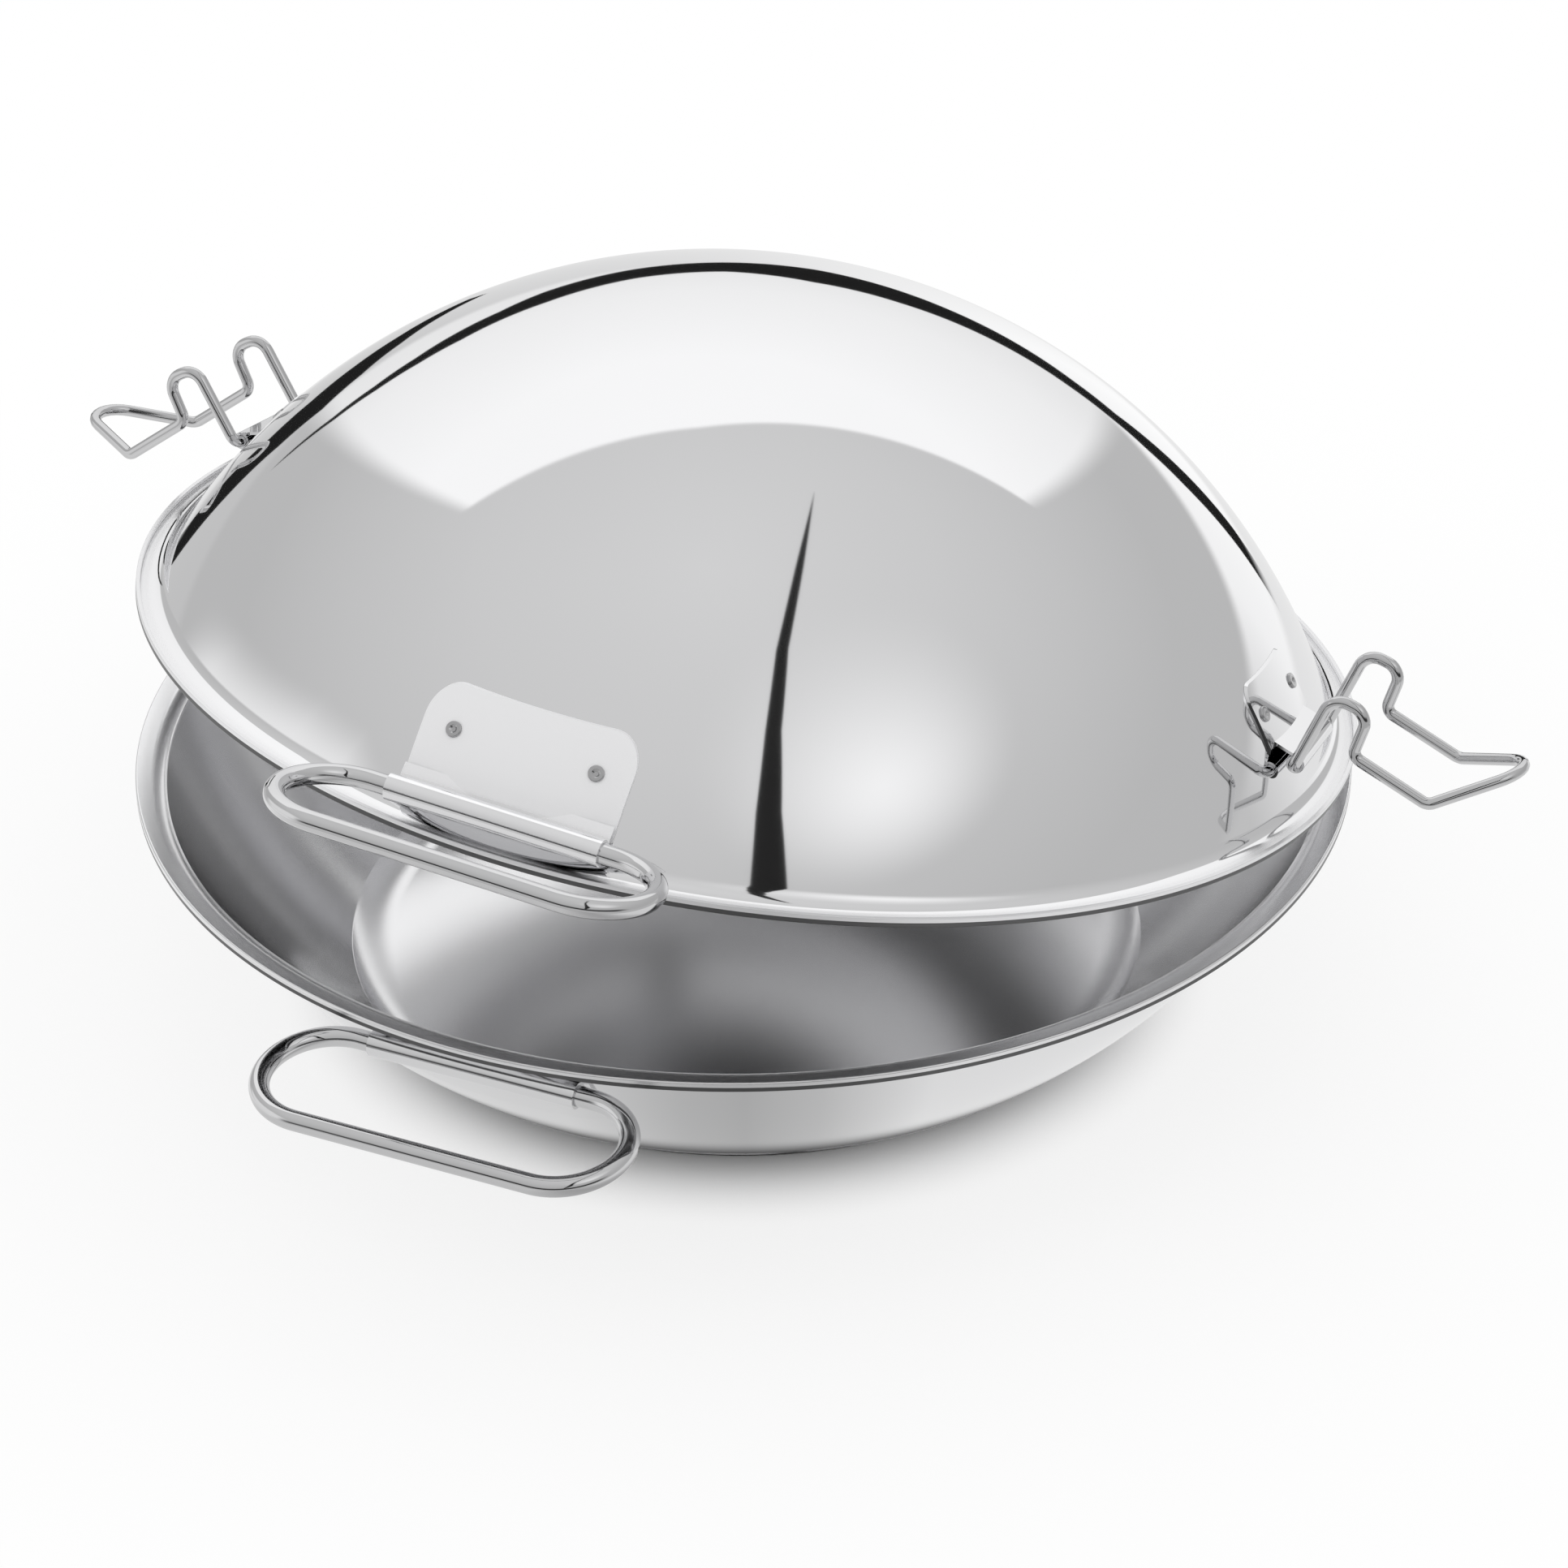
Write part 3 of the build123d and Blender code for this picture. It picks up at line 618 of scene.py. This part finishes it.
# %% Clips
CLIP_TUBE = (141.504, 13.0)
CLIP_END, CLIP_HALF = 4.65, 15.25
CLIP_HOOK_BEND = 2.6
CLIP_LEG = ((6.1, 20.6, 4.4), (15.3, 18.6, 4.2), (13.3, 7.4, 2.6), (32.9, 0.6, 3.0))
CLIP_TIP = (58.3, 13.6, 0, 8.0)
CLIP_WIRE_R = 1.45
CLIP_LEFT_DROP = 23.0
half_clip = [(0, 0, CLIP_END, 0), (0, 0, CLIP_HALF, CLIP_HOOK_BEND)]
half_clip += [(x, y, CLIP_HALF, r) for x, y, r in CLIP_LEG]
whole_clip = [(x, y, -z, r) for x, y, z, r in half_clip] + [CLIP_TIP] + half_clip[::-1]
for side, azimuth, drop in (("right", RIGHT, 0.0), ("left", LEFT, CLIP_LEFT_DROP)):
    lower = radians(drop)
    corners = []
    for x, y, along, rounding in whole_clip:
        out = CLIP_TUBE[0] + x * cos(lower) + y * sin(lower)
        depth = CLIP_TUBE[1] - x * sin(lower) + y * cos(lower)
        corners.append(spot("lid", azimuth, -along, depth, out))
    name = f"clip_{side}_wire"
    chain = chain_mesh(name + "_corners", corners, {"bend": [r * MM for x, y, z, r in whole_clip]})
    wire = grow(name + "_skin", chain, bend, {
        "Wire radius": CLIP_WIRE_R * MM, "Steps round": 24, "Steps per bend": 10,
        "Finish": finish["spring_steel"]})
    show(name + "_skin", swing(wire, "lid"), "clip_" + side, "wire_steel", name)

# %% [markdown]
# ## Rivets
# Every plate is held by two tubular rivets: a low head with a dimple on the plate, a flat head inside
# the shell. One rivet is spun, and the tree seats a copy on each point of a list, facing outwards.

# %% One rivet
RIVET = ((0, 0.15, 0), (0.5, 0.15, 0.1), (1.0, 0.55, 0.12), (1.9, 0.55, 0.25), (1.9, 0, 0), (1.28, 0, 0),
         (1.28, -1.74, 0), (1.9, -1.74, 0), (1.9, -2.29, 0.25), (0, -2.29, 0))
rivet_points = [(p[0] * MM, 0, p[1] * MM) for p in rounded(RIVET, 4)]
rivet_mesh = grow("rivet", chain_mesh("rivet_section", rivet_points), spin, {
    "Steps round": 32, "Outside": finish["rivet_steel"], "Inside": finish["rivet_steel"]})
rivet = bpy.data.objects.new("rivet", rivet_mesh)
print("rivet faces:", len(rivet_mesh.polygons))

# %% Rivets at their seats
PLATE_FACE_R = 162.72
LOOP_SEAT, CLIP_SEAT = (17.5, 20.25), (11.5, 22.884)


def seats(half, azimuth, seat):
    """The two seats of a plate and the direction each faces, before the lid's swing."""
    spread, depth = seat
    middle = spot(half, azimuth, 0, -DOME_C, 0)
    out = sqrt(PLATE_FACE_R**2 - (DOME_C + depth) ** 2 - spread**2)
    places = [spot(half, azimuth, side * spread, depth, out) for side in (-1, 1)]
    return [(place, (place - middle).normalized()) for place in places]


for half, plates, nodes in (
        ("pan", ((FRONT, LOOP_SEAT), (BACK, LOOP_SEAT)), ("pan_front_rivets", "pan_back_rivets")),
        ("lid", ((FRONT, LOOP_SEAT), (BACK, LOOP_SEAT), (RIGHT, CLIP_SEAT), (LEFT, CLIP_SEAT)),
         ("lid_front_rivets", "lid_back_rivets", "clip_right_rivets", "clip_left_rivets"))):
    taken = [place_and_way for azimuth, kind in plates for place_and_way in seats(half, azimuth, kind)]
    points = bpy.data.meshes.new(half + "_seats")
    points.from_pydata([place for place, way in taken], [], [])
    layer = points.attributes.new("facing", "FLOAT_VECTOR", "POINT")
    layer.data.foreach_set("vector", [c for place, way in taken for c in way])
    group = grow(half + "_rivets", points, seat_rivets, {"Rivet": rivet, "Finish": finish["rivet_steel"]})
    show(half + "_rivets", swing(group, half), half, "rivet_steel", *nodes)
bpy.data.objects.remove(rivet)

# %% [markdown]
# ## Plates and base
# These keep their shape from the CAD model, which is exact. They only need their finish. The lid's
# handle plates are finely blasted, which scatters light as a less metallic surface does; the pan's are
# satin like its wall, and the clips' are polished like the dome.

# %% Finish of the plates and the base
node_finish = {"base_core": "core_aluminium", "base_cap": "cap_steel_painted_shade",
               "clip_right_plate": "polished_plate", "clip_left_plate": "polished_plate"}
for half, look in (("pan", SATIN_PLATE), ("lid", BLASTED_PLATE)):
    for side, azimuth in (("front", FRONT), ("back", BACK)):
        name = f"{half}_{side}_plate"
        middle, beside = [SWING[half] @ spot(half, azimuth, along, LOOP_TUBE[1], LOOP_TUBE[0])
                          for along in (0, 1)]
        tube = (middle, (beside - middle).normalized())
        finish[name] = steel(name + "_steel", *look, tube=tube, kept=True)
        node_finish[name] = name
for name, chosen in node_finish.items():
    node = frame["nodes"][name]
    if not node.data.materials:
        node.data.materials.append(None)
    for place in node.material_slots:
        place.material = finish[chosen]
print("finished:", sorted(node_finish))

# %% [markdown]
# ## Drawing by direction
# Polished steel looks like whatever surrounds it, so the studio is drawn as tones by direction in the
# world. A direction is given by its azimuth, 0 straight ahead of the camera and 90 to the right, and its
# elevation. Edges that run overhead are easier to draw on a flat ceiling, by ceiling_x and ceiling_y.
# The helpers below make an edge, a stack of masks, and a line through a few given values.

# %% Helpers for masks
def rises(tree, value, edge, width):
    """0 below an edge, 1 above it, softly over a width."""
    return add_node(tree, "ShaderNodeMapRange", {
        "Value": math(tree, "SUBTRACT", value, edge), "From Min": -width / 2, "From Max": width / 2},
        interpolation_type="SMOOTHSTEP").outputs[0]


def falls(tree, value, edge, width):
    """1 below an edge, 0 above it."""
    return math(tree, "SUBTRACT", 1.0, rises(tree, value, edge, width))


def both(tree, *masks):
    """The product of several masks."""
    made = masks[0]
    for mask in masks[1:]:
        made = math(tree, "MULTIPLY", made, mask)
    return made


def over(tree, below, tone, mask):
    """Lays a tone over another where a mask is 1."""
    return add_node(tree, "ShaderNodeMix", {"Factor": mask, "A": below, "B": tone}).outputs[0]


def curve_of(tree, value, points, low, high):
    """A line through points (value, result); all results lie between low and high."""
    first, last = points[0][0], points[-1][0]
    part = add_node(tree, "ShaderNodeMapRange", {"Value": value, "From Min": first, "From Max": last})
    node = add_node(tree, "ShaderNodeFloatCurve", {"Value": part.outputs[0]})
    line = node.mapping.curves[0]
    while len(line.points) < len(points):
        line.points.new(0.5, 0.5)
    for dot, (x, y) in zip(line.points, points):
        dot.location = ((x - first) / (last - first), (y - low) / (high - low))
        dot.handle_type = "VECTOR"
    node.mapping.update()
    return math(tree, "MULTIPLY_ADD", node.outputs[0], high - low, low)


print("helpers: rises, falls, both, over, curve_of")

# %% [markdown]
# ## Studio
# Each thing in the studio is a tone and a mask, laid over what is there already: first the grey room
# with its large white panel, then a soft glow and a black wedge, then what lies low round the horizon.

# %% Group: directions, grey room and white panel
studio, given, result = new_group(
    "studio", "ShaderNodeTree", [("Direction", VECTOR, None)], [("Tone", VALUE)])
right, away, up = add_node(studio, "ShaderNodeSeparateXYZ", {0: given["Direction"]}).outputs
azimuth = math(studio, "MULTIPLY", math(studio, "ARCTAN2", right, away), 180 / pi)
elevation = math(studio, "MULTIPLY", math(studio, "ARCSINE", up), 180 / pi)
ceiling_up = math(studio, "MAXIMUM", up, 0.02)
ceiling_x = math(studio, "DIVIDE", right, ceiling_up)
ceiling_y = math(studio, "DIVIDE", away, ceiling_up)

ROOM = [(-90, 0.5), (-10, 0.54), (15, 0.55), (35, 0.62), (55, 0.68), (90, 0.74)]
PANEL_LEFT = [(-10, -18), (2.8, -25.6), (49.5, -54), (70, -75)]
PANEL_RIGHT = [(-10, 20), (-2.9, 21.8), (35, 50), (50, 62)]
PANEL_NEAR = [(-3, 0.2), (-0.69, 0.50), (-0.02, 0.59), (1.10, 0.91), (3, 1.5)]
PANEL_TONE = [(-10, 0.85), (5, 0.91), (15, 0.98), (25, 1.02), (40, 1.08), (90, 1.1)]
panel_left = curve_of(studio, elevation, PANEL_LEFT, -90, 90)
panel_right = curve_of(studio, elevation, PANEL_RIGHT, -90, 90)
panel_near = curve_of(studio, ceiling_x, PANEL_NEAR, 0, 2)
panel = both(studio, rises(studio, azimuth, panel_left, 4.0), falls(studio, azimuth, panel_right, 4.0),
             rises(studio, ceiling_y, panel_near, 0.03))
tone = curve_of(studio, elevation, ROOM, 0, 1.2)
tone = over(studio, tone, curve_of(studio, elevation, PANEL_TONE, 0, 1.2), panel)
print("drawn: grey room, white panel")

# %% Glow overhead on the near side, and the black wedge beside it
GLOW_X, GLOW_Y = 0.70, -0.75
GLOW_REACH, GLOW_SOFT, GLOW_TONE = 0.38, 0.85, 1.03
WEDGE_LEFT = [(-1.7, 0.23), (-0.94, 0.194), (-0.56, 0.191), (-0.26, 0.198), (0.03, 0.231), (0.33, 0.27)]
WEDGE_RIGHT = [(-1.7, 0.47), (-0.93, 0.30), (-0.55, 0.246), (-0.25, 0.234), (0.03, 0.253), (0.33, 0.27)]
WEDGE_SOFT, WEDGE_FAR_END, WEDGE_TONE = 0.006, 0.33, 0.02
ceiling_place = add_node(studio, "ShaderNodeCombineXYZ", {0: ceiling_x, 1: ceiling_y}).outputs[0]
glow_far = vector_math(studio, "DISTANCE", ceiling_place, (GLOW_X, GLOW_Y, 0))["Value"]
tone = over(studio, tone, GLOW_TONE, falls(studio, glow_far, GLOW_REACH, GLOW_SOFT))
wedge_left = curve_of(studio, ceiling_y, WEDGE_LEFT, 0, 1)
wedge_right = curve_of(studio, ceiling_y, WEDGE_RIGHT, 0, 1)
wedge = both(studio, rises(studio, ceiling_x, wedge_left, WEDGE_SOFT),
             falls(studio, ceiling_x, wedge_right, WEDGE_SOFT),
             falls(studio, ceiling_y, WEDGE_FAR_END, 0.01), rises(studio, up, 0.1, 0.1))
tone = over(studio, tone, WEDGE_TONE, wedge)
print("drawn: glow, wedge")

# %% Low on the left, behind the camera, and below the horizon
LOW_TOP = [(-130, 24), (-97, 30), (-85, 26), (-73, 19), (-61, 12), (-48, 3)]
GROUND = [(-180, 0.55), (-120, 0.6), (-100, 0.9), (-70, 0.9), (-50, 0.6), (-22, 0.60), (0, 0.82),
          (14, 1.05), (40, 1.0), (70, 0.6), (180, 0.55)]
LOW_FROM, LOW_TO, LOW_TONE = -118, -54, 0.92
DARK_FROM, DARK_TOP, DARK_TONE = 122, 13, 0.04
HORIZON = -1.0
low_top = curve_of(studio, azimuth, LOW_TOP, 0, 40)
low_light = both(studio, rises(studio, azimuth, LOW_FROM, 20), falls(studio, azimuth, LOW_TO, 14),
                 falls(studio, elevation, low_top, 9), rises(studio, elevation, HORIZON, 4))
tone = over(studio, tone, LOW_TONE, low_light)
from_ahead = math(studio, "ABSOLUTE", azimuth)
dark_room = both(studio, rises(studio, from_ahead, DARK_FROM, 24), falls(studio, elevation, DARK_TOP, 10))
tone = over(studio, tone, DARK_TONE, dark_room)
ground = curve_of(studio, azimuth, GROUND, 0, 1.2)
tone = over(studio, tone, ground, falls(studio, elevation, HORIZON, 3.0))
print("drawn: low light, dark room, ground")

# %% [markdown]
# ## Black flags
# Black cloths stand along the horizon behind the object. They give the dome its sharp dark line, which is
# what makes it read as a mirror. Each is drawn by its top and bottom edge as elevation over azimuth.

# %% Flags along the horizon
LONG_TOP = [(-31, 2), (-30.1, 3.8), (-27.8, 7.1), (-24.7, 9.2), (-21.4, 10.2), (-17.8, 10.4), (-10.9, 8.8),
            (-4.8, 6.1), (0.4, 4.8), (5.6, 5.9), (10.7, 4.8), (15.7, 2.7), (20.8, 0.5), (23.3, -1.1),
            (25.4, -3.2), (26.8, -6.5), (27.2, -14), (28, -20)]
LONG_BOTTOM = [(-31, 2), (-29.7, 3.2), (-27.1, 5.9), (-23.8, 7.2), (-20.1, 7.2), (-16.4, 6.1), (-13, 5),
               (-9.6, 2.5), (-4.3, -0.4), (0.2, -2.1), (4.2, -3.4), (11, -3), (18.6, -3.6), (21.1, -4.7),
               (21.9, -8.2), (22.4, -15), (24, -17.3), (28, -20)]
SHORT_TOP = [(-28.5, -14), (-27.4, -7), (-25.9, -2.6), (-23.5, -0.4), (-19.4, -1.8), (-15.1, -5),
             (-10.9, -9.5), (-8, -13)]
SHORT_BOTTOM = [(-28.5, -14), (-28, -22), (-21.5, -20), (-20.8, -10), (-18.5, -9), (-15.2, -10),
                (-12.2, -11.5), (-8, -15)]
FLAG_TONE = 0.015
for top, bottom in ((LONG_TOP, LONG_BOTTOM), (SHORT_TOP, SHORT_BOTTOM)):
    flag = both(studio, rises(studio, azimuth, top[0][0], 0.2), falls(studio, azimuth, top[-1][0], 0.2),
                falls(studio, elevation, curve_of(studio, azimuth, top, -30, 30), 0.4),
                rises(studio, elevation, curve_of(studio, azimuth, bottom, -30, 30), 0.4))
    tone = over(studio, tone, FLAG_TONE, flag)
studio.links.new(tone, result["Tone"])
print("studio nodes:", len(studio.nodes))

# %% [markdown]
# ## World
# Only what the metal reflects is the drawn studio. The camera sees plain white behind the object, and
# matt surfaces get an even light, so the drawing never lights the floor in patches. The world isn't
# sampled as a lamp, because then these kinds of ray would be mixed up.

# %% World
world = bpy.data.worlds.new("studio")
bpy.context.scene.world = world
world.use_nodes = True
world.cycles.sampling_method = "NONE"
tree = world.node_tree
ray = add_node(tree, "ShaderNodeLightPath")
direction = add_node(tree, "ShaderNodeTexCoord").outputs["Generated"]
turned = add_node(tree, "ShaderNodeVectorRotate", {"Vector": direction, "Angle": -VIEW_TURN},
                  rotation_type="Z_AXIS")
drawn_tone = grouped(tree, studio, Direction=turned.outputs[0])["Tone"]
even = math(tree, "MAXIMUM", ray.outputs["Is Camera Ray"], ray.outputs["Is Diffuse Ray"])
tree.links.new(over(tree, drawn_tone, 1.0, even), tree.nodes["Background"].inputs["Color"])
print("world ready")

# %% [markdown]
# ## Floor
# The floor is a sheet of white paper. The camera sees it lit and shadowed close to the object, and
# fading to white further out. In the metal it shows as a painted glow, a little darker on the camera's
# side, with a painted shadow under the base; from FLOOR_IN_METAL on, the metal sees the studio's ground
# through it.

# %% Floor
FLOOR_REACH = 0.9
FLOOR_SIDES = 128
FLOOR_IN_METAL = 0.45
FLOOR_TONE = [(-180, 0.46), (-172, 0.50), (-155, 0.70), (-125, 0.74), (-90, 0.95), (-50, 0.8), (0, 0.84),
              (90, 0.86), (155, 0.82), (170, 0.55), (180, 0.46)]
floor_mesh = bpy.data.meshes.new("floor")
turns = [2 * pi * side / FLOOR_SIDES for side in range(FLOOR_SIDES)]
ring = [(FLOOR_REACH * cos(turn), FLOOR_REACH * sin(turn), 0) for turn in turns]
floor_mesh.from_pydata(ring, [], [tuple(range(FLOOR_SIDES))])
floor = bpy.data.objects.new("floor", floor_mesh)
bpy.context.scene.collection.objects.link(floor)
print("floor reaches", FLOOR_REACH, "m")

# %% Paper, as the camera sees it
BASE_REACH, SHADOW_REACH = 0.105, 0.26
WHITE_BESIDE, WHITE_BEYOND = 0.76, 0.24  # shares of white that set in beside the base and further out
paper = bpy.data.materials.new("floor_paper")
paper.use_nodes = True
floor_mesh.materials.append(paper)
tree = paper.node_tree
ray = add_node(tree, "ShaderNodeLightPath")
place = add_node(tree, "ShaderNodeTexCoord").outputs["Object"]
far = vector_math(tree, "LENGTH", place)["Value"]
fibre = add_node(tree, "ShaderNodeTexNoise", {
    "Vector": place, "Scale": 900.0, "Detail": 3.0}).outputs["Fac"]
matt = tree.nodes["Principled BSDF"]
tree.links.new(math(tree, "MULTIPLY_ADD", fibre, 0.02, 0.94), matt.inputs["Base Color"])
matt.inputs["Roughness"].default_value = 0.9
matt.inputs["Specular IOR Level"].default_value = 0.0
white = add_node(tree, "ShaderNodeEmission", {"Color": (1, 1, 1, 1)})
beside = math(tree, "MULTIPLY", rises(tree, far, BASE_REACH, 0.03), WHITE_BESIDE)
fade = math(tree, "MULTIPLY_ADD", rises(tree, far, SHADOW_REACH, 0.26), WHITE_BEYOND, beside)
lit = add_node(tree, "ShaderNodeMixShader", {
    "Fac": math(tree, "MULTIPLY", fade, ray.outputs["Is Camera Ray"])})
tree.links.new(matt.outputs[0], lit.inputs[1])
tree.links.new(white.outputs[0], lit.inputs[2])
print("paper for the camera")

# %% Paper, as the metal sees it: a painted glow with a painted shadow under the base
BASE_EDGE = 0.098
turned = add_node(tree, "ShaderNodeVectorRotate", {"Vector": place, "Angle": -VIEW_TURN},
                  rotation_type="Z_AXIS")
side = add_node(tree, "ShaderNodeSeparateXYZ", {0: turned.outputs[0]})
around = math(tree, "MULTIPLY", math(tree, "ARCTAN2", side.outputs["X"], side.outputs["Y"]), 180 / pi)
# Painted shadow: the glow that the metal sees is darkened inside the base's edge, and that glow is itself
# painted, not lit.
painted_base_shadow = math(tree, "MULTIPLY_ADD", rises(tree, far, BASE_EDGE, 0.012), 0.85, 0.15)
in_metal = math(tree, "MULTIPLY", curve_of(tree, around, FLOOR_TONE, 0, 1), painted_base_shadow)
reflected = add_node(tree, "ShaderNodeEmission", {"Color": in_metal})
mixed = add_node(tree, "ShaderNodeMixShader", {"Fac": ray.outputs["Is Glossy Ray"]})
tree.links.new(lit.outputs[0], mixed.inputs[1])
tree.links.new(reflected.outputs[0], mixed.inputs[2])
clear = add_node(tree, "ShaderNodeBsdfTransparent")
seen = add_node(tree, "ShaderNodeMixShader", {
    "Fac": both(tree, rises(tree, far, FLOOR_IN_METAL, 0.1), ray.outputs["Is Glossy Ray"])})
tree.links.new(mixed.outputs[0], seen.inputs[1])
tree.links.new(clear.outputs[0], seen.inputs[2])
tree.links.new(seen.outputs[0], tree.nodes["Material Output"].inputs["Surface"])
print("paper for the metal")
